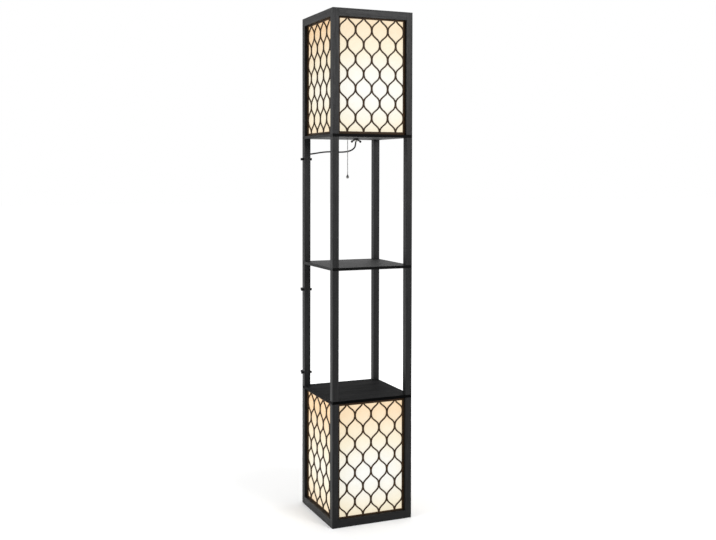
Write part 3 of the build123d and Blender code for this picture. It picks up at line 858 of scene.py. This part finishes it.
def lattice_surface(sizes, half_window, height, thickness):
    """Ogee lattice in XZ, its face at Y = 0 and its back at Y = thickness.

    Every opening lies between two waves. From an opening's edge to the wave
    beside it the face rises by a quarter circle of radius e: y = e - sqrt(e^2 - (e-d)^2),
    with d the distance from the opening. A wall joins face and back along the edge.
    """
    swing = sizes.wave_pitch / 4 - sizes.wave_gap
    apex = apex_angle(sizes, swing)
    bend = np.concatenate([
        np.linspace(pi - apex, apex, 12, endpoint=False),
        np.linspace(apex, 2 * pi - apex, 4, endpoint=False),
    ])
    half_turns = int(np.ceil(height / sizes.wave_period)) + 1
    phase = np.concatenate([bend + k * pi for k in range(-half_turns, half_turns)])
    z = height / 2 + sizes.lattice_rise + phase * sizes.wave_period / (2 * pi)
    columns = int(half_window / sizes.wave_pitch * 2) + 1
    column = np.arange(-columns, columns + 1)
    own = phase[None, :] - pi * (column % 2)[:, None]
    own = (own + pi) % (2 * pi) - pi
    wave = line_place(sizes, swing, own)
    opening = np.where(np.abs(own) < apex - 1e-6, opening_half(sizes, swing, own), 0.0)
    lean = np.sqrt(1 + line_slope(sizes, swing, own) ** 2)
    past = np.maximum(np.abs(own) - apex, 0) * sizes.wave_period / (2 * pi)
    rows = np.array([0.0, 0.05, 0.17, 0.42, 1.0])       # from an opening's edge to the wave
    across = opening[..., None] + (wave - opening)[..., None] * rows
    inside = np.where(
        opening[..., None] > 0, (across - opening[..., None]) / lean[..., None],
        np.hypot(across, past[..., None]),
    )
    edge = sizes.lattice_edge
    depth = edge - np.sqrt(edge ** 2 - (edge - np.minimum(inside, edge)) ** 2)
    axis = column[:, None] * sizes.wave_pitch / 2
    patches = []
    for side in (-1, 1):
        face_x = axis[..., None] + side * across
        face = points_from(face_x, depth, z[:, None])
        back = points_from(face_x, thickness, z[:, None])[:, :, [0, -1]]
        wall = np.stack([face[:, :, 0], back[:, :, 0]], axis=2)
        for k in range(len(column)):
            patches.append(patch(face[k], wrap_columns=False))
            patches.append(patch(back[k], wrap_columns=False))
            open_rows = (opening[k][:-1] > 0) | (opening[k][1:] > 0)
            points, faces, finish = patch(wall[k], wrap_columns=False)
            patches.append((points, faces[open_rows], finish))
    return patches


def trim(mesh, planes):
    """Cut a mesh off outside each plane and close the cuts."""
    shell = bmesh.new()
    shell.from_mesh(mesh)
    bmesh.ops.remove_doubles(shell, verts=shell.verts, dist=MERGE)
    for point, outward in planes:
        parts = list(shell.verts) + list(shell.edges) + list(shell.faces)
        bmesh.ops.bisect_plane(
            shell, geom=parts, plane_co=point, plane_no=outward, clear_outer=True, dist=MERGE
        )
        rim = [edge for edge in shell.edges if edge.is_boundary]
        bmesh.ops.holes_fill(shell, edges=rim, sides=0)
    bmesh.ops.triangulate(shell, faces=[face for face in shell.faces if len(face.verts) > 4])
    bmesh.ops.recalc_face_normals(shell, faces=shell.faces)
    shell.to_mesh(mesh)
    shell.free()


def trellis_mesh(sizes, half_width, height, thickness):
    """Lattice with its border, standing in XZ on its lower edge."""
    half_window = half_width - sizes.border_side
    lattice = joined_mesh("lattice", lattice_surface(sizes, half_window, height, thickness))
    tuck = sizes.lattice_edge
    right, top = half_window + tuck, height - sizes.border_end + tuck
    trim(lattice, [
        ((right, 0, 0), (1, 0, 0)), ((-right, 0, 0), (-1, 0, 0)),
        ((0, 0, top), (0, 0, 1)), ((0, 0, height - top), (0, 0, -1)),
    ])
    return lattice


def border_patches(sizes, half_width, height, thickness):
    """Two stiles and, between them, two rails with rounded edges."""
    half_window = half_width - sizes.border_side
    edge = sizes.lattice_edge
    bars = []
    for side in (-1, 1):
        ends = sorted((side * half_window, side * half_width))
        bars.append(rounded_bar((ends[0], 0, 0), (ends[1], thickness, height), edge))
    for z0 in (0, height - sizes.border_end):
        reach = half_window + 2 * edge
        bar = rounded_bar((-z0 - sizes.border_end, 0, -reach), (-z0, thickness, reach), edge)
        bars.append(along_x(bar))
    return [patch(bar) for bar in bars]


def panel_mesh(name, lattice, borders, base, quarter):
    """Lattice and border as one mesh, moved to their place and turned to their side."""
    corners = np.empty(len(lattice.vertices) * 3)
    lattice.vertices.foreach_get("co", corners)
    points = [corners.reshape(-1, 3)]
    faces = [tuple(face.vertices) for face in lattice.polygons]
    for bar_points, bar_faces, _ in borders:
        faces += (bar_faces + sum(len(part) for part in points)).tolist()
        points.append(bar_points)
    mesh = bpy.data.meshes.new(name)
    mesh.from_pydata(quarter_turned(moved(np.concatenate(points), *base), quarter), [], faces)
    return mesh


class LAMP_OT_trellises(bpy.types.Operator):
    """Ogee trellis on each side of both lanterns"""
    bl_idname = "lamp.trellises"
    bl_label = "Trellises"

    def execute(self, context):
        sizes, colours = context.scene.lamp_sizes, context.scene.lamp_colours
        brown = colours.trellis_dark, colours.trellis_light
        woods = [wood_finish(f"trellis_wood_{grain}", grain, *brown, roughness=0.5) for grain in "XY"]
        low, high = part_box("lower_trellis_front")
        height, thickness = high.z - low.z, high.y - low.y
        lattice = trellis_mesh(sizes, high.x, height, thickness)
        borders = border_patches(sizes, high.x, height, thickness)
        for lantern in LANTERNS:
            for quarter, side in enumerate(SIDES):
                node = f"{lantern}_trellis_{side}"
                base = (0, low.y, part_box(node)[0].z)
                name = f"{lantern}_lattice_{side}"
                mesh = panel_mesh(name, lattice, borders, base, quarter)
                mesh.materials.append(woods[quarter % 2])
                close_mesh(mesh, crease=35)
                add_piece(name, mesh, replaced=[node])
        return {"FINISHED"}


# ---------------------------------------------------------------- diffusers and bulbs
def sheet_finish(name, glow_height, colours, nearest, farthest):
    """Lit paper: white nearest the bulb and warmer away from it, by two shares of warmth."""
    material, tree, shader = new_finish(name, {
        "Emission Strength": 1.0, "Roughness": 0.85, "Specular IOR Level": 0.2,
    })
    near_edge, far_edge = 75 * MM, 215 * MM
    cloud_share, middle_share = 0.10, 0.3
    place = object_place(tree)
    centred = object_place(tree, scale=(0.6, 0.6, 1), shift=(0, 0, -glow_height))
    falloff = remap(tree, distance(tree, centred), near_edge, far_edge, nearest, farthest)
    fibres = noise(tree, place, scale=260.0, detail=5.0, roughness=0.7)
    clouds = noise(tree, place, scale=28.0, detail=2.0)
    clouded = calculate(tree, "MULTIPLY_ADD", clouds, cloud_share, falloff)
    warmth = calculate(tree, "SUBTRACT", clouded, cloud_share / 2)
    near_share, far_share = remap(tree, warmth, 0.0, middle_share), remap(tree, warmth, middle_share, 1.0)
    inner = blend_colours(tree, near_share, colours.glow_middle, colours.glow_between)
    fibre_share = remap(tree, fibres, 0.3, 0.7)
    feed(shader, {
        "Emission Color": blend_colours(tree, far_share, inner, colours.glow_edge),
        "Base Color": blend_colours(tree, fibre_share, toned(colours.paper, 0.9), colours.paper),
    })
    add_bump(tree, shader, fibres, strength=0.3, depth=0.05 * MM)
    return material


# Lantern, and how warm its sheets turn far from the bulb: front and back, then the sides.
WARMTHS = (("lower", 0.72, 1.10), ("upper", 0.58, 0.90))
SIDE_WARMTH = 0.17          # warmth of a side sheet nearest the bulb
GLOW_DROP = 5 * MM          # from the bulb's crown down to the middle of the glow


class LAMP_OT_diffusers(bpy.types.Operator):
    """Lit paper sheet behind each trellis"""
    bl_idname = "lamp.diffusers"
    bl_label = "Diffusers"

    def execute(self, context):
        colours = context.scene.lamp_colours
        for lantern, front_warmth, side_warmth in WARMTHS:
            glow_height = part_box(f"{lantern}_bulb")[1].z - GLOW_DROP
            face_on = sheet_finish(f"{lantern}_sheet", glow_height, colours, 0.0, front_warmth)
            beside = sheet_finish(
                f"{lantern}_side_sheet", glow_height, colours, SIDE_WARMTH, side_warmth
            )
            for quarter, side in enumerate(SIDES):
                dress(f"{lantern}_diffuser_{side}", (face_on, beside)[quarter % 2])
        return {"FINISHED"}


def bulb_profile(sizes, rim):
    """Pear form: cap, neck, a cubic from neck to ball, and a ball closed at its crown.

    The cubic takes its two ends and its two directions by (2t^3-3t^2+1, t^3-2t^2+t,
    3t^2-2t^3, t^3-t^2).
    """
    neck, ball = sizes.bulb_neck, sizes.bulb_radius
    crown_centre = np.array((0, rim + sizes.bulb_height - ball))
    meeting = -42               # degrees below the ball's middle where the neck meets it
    lean = radians(meeting)
    start, start_pull = np.array((neck, rim + 6 * MM)), np.array((0, ball))
    end, end_pull = ball * np.array((cos(lean), sin(lean))), ball * np.array((-sin(lean), cos(lean)))
    t = np.linspace(0, 1, 13)[:, None]
    throat = (
        (2 * t ** 3 - 3 * t ** 2 + 1) * start + (t ** 3 - 2 * t ** 2 + t) * start_pull
        + (3 * t ** 2 - 2 * t ** 3) * (crown_centre + end) + (t ** 3 - t ** 2) * end_pull
    )
    crown = arc(crown_centre, ball, meeting, 90, 22)[1:]
    foot = np.array([(0, -20), (12.6, -20), (13.0, -1), (0, 0), (0, 1)]) * MM
    foot[3:, 0] = neck - 0.8 * MM, neck
    foot[:, 1] += rim
    return np.concatenate([foot, throat, crown])


def glass_finish(colours):
    """Frosted glass that glows a little unevenly."""
    material, tree, shader = new_finish("frosted_glass", {
        "Base Color": (*colours.bulb_white, 1), "Roughness": 0.45, "Emission Strength": 2.2,
    })
    grain = noise(tree, object_place(tree), scale=60.0, detail=2.0)
    paler = [0.5 + 0.5 * part for part in colours.bulb_light]
    light = blend_colours(tree, remap(tree, grain, 0.4, 0.6), colours.bulb_light, paler)
    feed(shader, {"Emission Color": light})
    return material


class LAMP_OT_bulbs(bpy.types.Operator):
    """Frosted pear bulb in each lampholder"""
    bl_idname = "lamp.bulbs"
    bl_label = "Bulbs"

    def execute(self, context):
        sizes, glass = context.scene.lamp_sizes, glass_finish(context.scene.lamp_colours)
        for lantern in LANTERNS:
            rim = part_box(f"{lantern}_bulb")[1].z - sizes.bulb_height
            make_piece(
                f"{lantern}_bulb_glass", [patch(revolved(bulb_profile(sizes, rim), 48))], [glass],
                replaced=[f"{lantern}_bulb"], crease=60,
            )
        return {"FINISHED"}


# ---------------------------------------------------------------- lampholders and fittings
def holder_surface(base):
    """Lampholder: turned profile, fluted between two heights by r (1 - e (1 - cos 24 a) / 2)."""
    flutes, flute_depth = 24, 0.018
    flute_low, flute_high, flute_radius = 11.9 * MM, 38.1 * MM, 16 * MM
    profile = [
        (0, 10), (5.2, 10), (5.2, 0), (20.6, 0), (21, 0.5), (21, 2.8), (20.4, 3.4), (17.6, 4.7), (17, 5.6),
        (17, 8), (16.5, 8.6), (16.5, 9.4), (17, 10), (17, 12), (17, 20), (17, 30), (17, 38), (17, 40),
        (16.5, 40.6), (16.5, 41.4), (17, 42), (17, 56), (16.6, 57.4), (15.6, 58), (14.6, 58), (14.2, 57.6),
        (14.2, 31), (0, 31),
    ]
    points = revolved(np.array(profile) * MM, 96)
    x, y, z = np.moveaxis(points, -1, 0)
    fluted = (z > flute_low) & (z < flute_high) & (np.hypot(x, y) > flute_radius)
    flute = flute_depth * (0.5 - 0.5 * np.cos(flutes * np.arctan2(y, x)))
    points[..., :2] *= np.where(fluted, 1 - flute, 1.0)[..., None]
    return moved(points, z=base)


def nozzle_surfaces(base, arm_reach):
    """Chain nozzle: a turned arm along -X and a turned bell hanging at its end."""
    arm_height, reach = 40 * MM, arm_reach / MM
    arm = [(0, 15.5), (3.6, 15.5), (4.6, 16.2), (4.6, 18.2), (3.6, 18.8), (3.6, reach), (0, reach)]
    arm_points = along_x(revolved(np.array(arm) * MM, 24)) * (-1, 1, 1)
    bell = [
        (0, 41.5), (2.3, 41.5), (2.3, 33), (3, 31.8), (4.2, 31), (5, 31.1), (4.8, 32.2), (4.3, 34), (4, 36),
        (4, 41), (3.7, 42.4), (2.6, 43.3), (0, 43.6),
    ]
    bell_points = revolved(np.array(bell) * MM, 24)
    return moved(arm_points, z=base + arm_height), moved(bell_points, x=-arm_reach, z=base)


class LAMP_OT_lampholders(bpy.types.Operator):
    """Fluted lampholders, the upper one with its chain nozzle"""
    bl_idname = "lamp.lampholders"
    bl_label = "Lampholders"

    def execute(self, context):
        colours = context.scene.lamp_colours
        moulding = moulded_finish("lampholder_moulding", colours.holder_black, roughness=0.35)
        brass = metal_finish("nozzle_brass", colours.brass, roughness=0.25)
        chain_low, chain_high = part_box("switch_chain")
        reach = -(chain_low.x + chain_high.x) / 2
        for lantern in LANTERNS:
            node = f"{lantern}_lampholder"
            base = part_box(node)[0].z
            patches = [patch(holder_surface(base))]
            if lantern == "upper":
                patches += [patch(part, finish=1) for part in nozzle_surfaces(base, reach)]
            make_piece(
                f"{lantern}_holder", patches, [moulding, brass], replaced=[node]
            )
        return {"FINISHED"}


def threaded_tube(z0, z1):
    """Tube whose outer radius waves once per thread by r - e |1 - 2t|, with its bore inside."""
    pitch, steps = 1.0 * MM, 4
    radius, thread, bore = 5 * MM, 0.35 * MM, 3.6 * MM
    z = np.linspace(z0, z1, int((z1 - z0) / pitch) * steps + 1)
    t = (z - z0) / pitch % 1
    outer = radius - thread * np.abs(1 - 2 * t)
    return revolved([*zip(outer, z), (bore, z1), (bore, z0)], 28)


class LAMP_OT_fittings(bpy.types.Operator):
    """Threaded nipples, locknut and post studs"""
    bl_idname = "lamp.fittings"
    bl_label = "Fittings"

    def execute(self, context):
        steel = metal_finish("plated_steel", context.scene.lamp_colours.steel, roughness=0.3)
        low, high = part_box("threaded_nipples")
        lower_top, upper_foot = 27 * MM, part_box("upper_board")[0].z - 10 * MM
        tubes = [threaded_tube(low.z, lower_top), threaded_tube(upper_foot, high.z)]
        make_piece(
            "threaded_tubes", [patch(tube, wrap_rows=True) for tube in tubes], [steel],
            replaced=["threaded_nipples"], crease=50,
        )
        for name in ("locknut", "post_studs"):
            soften(dress(name, steel), 0.3 * MM)
        return {"FINISHED"}


def wing_surface(board_z, side):
    """Wing: a straight arm that swells to a ball, flattened front to back.

    At l along it the arm's radius a and the ball's b = sqrt(R^2 - (l - L)^2) join as
    (a^4 + b^4)^(1/4), and past the ball's middle the arm shrinks with the ball.
    """
    start, ball_centre = np.array((4.6, -3.0)), np.array((14.8, -10.1))     # in millimetres
    arm, ball, flatness = 2.4, 3.6, 0.8
    reach = np.linalg.norm(ball_centre - start)
    ahead = (ball_centre - start) / reach
    round_ball = reach - ball * np.cos(np.linspace(0.2, pi, 18))
    along = np.concatenate([np.linspace(0, reach - ball, 8), round_ball])
    past = np.clip((along - reach) / ball, -1, 1)
    swell = ball * np.sqrt(1 - past ** 2)
    neck = arm * np.sqrt(1 - np.clip(past, 0, 1) ** 2)
    radius = (neck ** 4 + swell ** 4) ** 0.25
    turn = full_turn(28)
    side_step = radius[:, None] * np.cos(turn)
    x = start[0] + ahead[0] * along[:, None] - ahead[1] * side_step
    z = start[1] + ahead[1] * along[:, None] + ahead[0] * side_step
    y = flatness * radius[:, None] * np.sin(turn)
    return capped(points_from(side * x * MM, y * MM, board_z + z * MM))


class LAMP_OT_wing_nut(bpy.types.Operator):
    """Black wing nut under the upper board"""
    bl_idname = "lamp.wing_nut"
    bl_label = "Wing nut"

    def execute(self, context):
        paint = moulded_finish("black_paint", context.scene.lamp_colours.nut_black, roughness=0.35)
        board_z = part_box("upper_board")[0].z
        profile = [
            (5.15, 0), (7.4, 0), (8, -0.5), (8, -1.4), (7.4, -2), (7.2, -4.6), (6.8, -5.9), (6.2, -6.5),
            (5.6, -6.5), (5.15, -6.1),
        ]
        body = revolved(np.array(profile) * MM, 36)
        patches = [patch(moved(body, z=board_z), wrap_rows=True)]
        patches += [patch(wing_surface(board_z, side)) for side in (-1, 1)]
        make_piece("winged_nut", patches, [paint], replaced=["wing_nut"], crease=50)
        return {"FINISHED"}


# ---------------------------------------------------------------- pull chain
def chain_profile(sizes, top, bottom):
    """Chain's profile: for each bead a circle's arc that meets the wire at both ends."""
    count = int(round((top - bottom) / sizes.bead_pitch))
    centres = top - (np.arange(count) + 0.5) * sizes.bead_pitch
    latitude = np.linspace(-1, 1, 8) * np.arccos(sizes.chain_wire / sizes.bead_radius)
    radius = np.tile(sizes.bead_radius * np.cos(latitude), count)
    height = (centres[:, None] - sizes.bead_radius * np.sin(latitude)).ravel()
    ends = [(0, top), (sizes.chain_wire, top)], [(sizes.chain_wire, bottom), (0, bottom)]
    return np.concatenate([ends[0], np.stack([radius, height], axis=1), ends[1]])


class LAMP_OT_pull_chain(bpy.types.Operator):
    """Bead chain in its three lengths, with the knob"""
    bl_idname = "lamp.pull_chain"
    bl_label = "Pull chain"

    def execute(self, context):
        sizes, colours = context.scene.lamp_sizes, context.scene.lamp_colours
        chrome = metal_finish("plated_beads", colours.chrome, roughness=0.16)
        dark = metal_finish("dark_ferrule", toned(colours.chrome, 0.25), roughness=0.3)
        lengths = (
            ("switch_chain", "switch_chain", "beads_from_switch"),
            ("chain_first_links", "first_links", "beads_first_links"),
            ("hanging_chain", "hanging_chain", "beads_hanging"),
        )
        for node, body, name in lengths:
            low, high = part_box(node)
            beads = revolved(chain_profile(sizes, high.z, low.z), 12)
            make_piece(
                name, [patch(moved(beads, x=(low.x + high.x) / 2))], [chrome],
                body=body, replaced=[node], crease=50,
            )
        low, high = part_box("pull_knob")
        middle_x, ball_drop = (low.x + high.x) / 2, 7.8 * MM
        ferrule = [(0, 0), (1.7, 0), (2.0, -0.3), (2.3, -2.4), (3.0, -3.9), (2.9, -4.4), (0, -4.4)]
        cap = moved(revolved(np.array(ferrule) * MM, 28), x=middle_x, z=high.z)
        ball = revolved(arc((0, high.z - ball_drop), sizes.knob_radius, 90, -90, 22), 36)
        make_piece(
            "knob_ball", [patch(moved(ball, x=middle_x)), patch(cap, finish=1)], [chrome, dark],
            body="hanging_chain", replaced=["pull_knob"], crease=50,
        )
        return {"FINISHED"}


class LAMP_OT_cord_guides(bpy.types.Operator):
    """Black guides that keep the lead behind the back-left post"""
    bl_idname = "lamp.cord_guides"
    bl_label = "Cord guides"

    def execute(self, context):
        sizes, colours = context.scene.lamp_sizes, context.scene.lamp_colours
        plastic = moulded_finish("guide_plastic", colours.sheath_black, roughness=0.5)
        low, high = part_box("cord_guides")
        post_low, post_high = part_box("upper_tier_post_back_left")
        heights = (
            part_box("upper_board")[0].z - sizes.upper_guide_drop,
            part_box("middle_shelf")[0].z - sizes.middle_guide_drop,
            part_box("lower_shelf")[1].z + sizes.lower_guide_rise,
        )
        wall, half = sizes.guide_wall, sizes.guide_height / 2
        off_post, bend, edge = 0.8 * MM, 1.6 * MM, 0.35 * MM
        left, right = post_low.x - off_post, post_high.x + off_post
        ear, back = low.y + wall / 2, high.y - wall / 2
        corners = [(low.x, ear), (left, ear), (left, back), (right, back), (right, ear), (high.x, ear)]
        route = rounded_route(corners, bend)
        patches = [patch(flat_strip(route, wall, z - half, z + half, edge)) for z in heights]
        make_piece("lead_guides", patches, [plastic], replaced=["cord_guides"])
        return {"FINISHED"}


# ---------------------------------------------------------------- add-on
OPERATORS = (
    LAMP_OT_stage,
    LAMP_OT_mains_lead,
    LAMP_OT_frame,
    LAMP_OT_trellises,
    LAMP_OT_diffusers,
    LAMP_OT_bulbs,
    LAMP_OT_lampholders,
    LAMP_OT_fittings,
    LAMP_OT_wing_nut,
    LAMP_OT_pull_chain,
    LAMP_OT_cord_guides,
)


class LAMP_PT_pieces(bpy.types.Panel):
    """Buttons that build the lamp piece by piece"""
    bl_label = "Shelf lamp"
    bl_idname = "LAMP_PT_pieces"
    bl_space_type = "VIEW_3D"
    bl_region_type = "UI"
    bl_category = "Shelf lamp"

    def draw(self, context):
        for operator in OPERATORS:
            self.layout.operator(operator.bl_idname)


SETTINGS = (("lamp_sizes", LampSizes), ("lamp_colours", LampColours), ("lamp_stage", LampStage))


def register():
    """Add the settings, operators and panel."""
    for name, group in SETTINGS:
        bpy.utils.register_class(group)
        setattr(bpy.types.Scene, name, PointerProperty(type=group))
    for operator in OPERATORS:
        bpy.utils.register_class(operator)
    bpy.utils.register_class(LAMP_PT_pieces)


def unregister():
    """Take them away again."""
    bpy.utils.unregister_class(LAMP_PT_pieces)
    for operator in reversed(OPERATORS):
        bpy.utils.unregister_class(operator)
    for name, group in reversed(SETTINGS):
        delattr(bpy.types.Scene, name)
        bpy.utils.unregister_class(group)


def main():
    """Build the stage and every piece."""
    register()
    for operator in OPERATORS:
        family, action = operator.bl_idname.split(".")
        getattr(getattr(bpy.ops, family), action)()


if __name__ == "__main__":
    main()
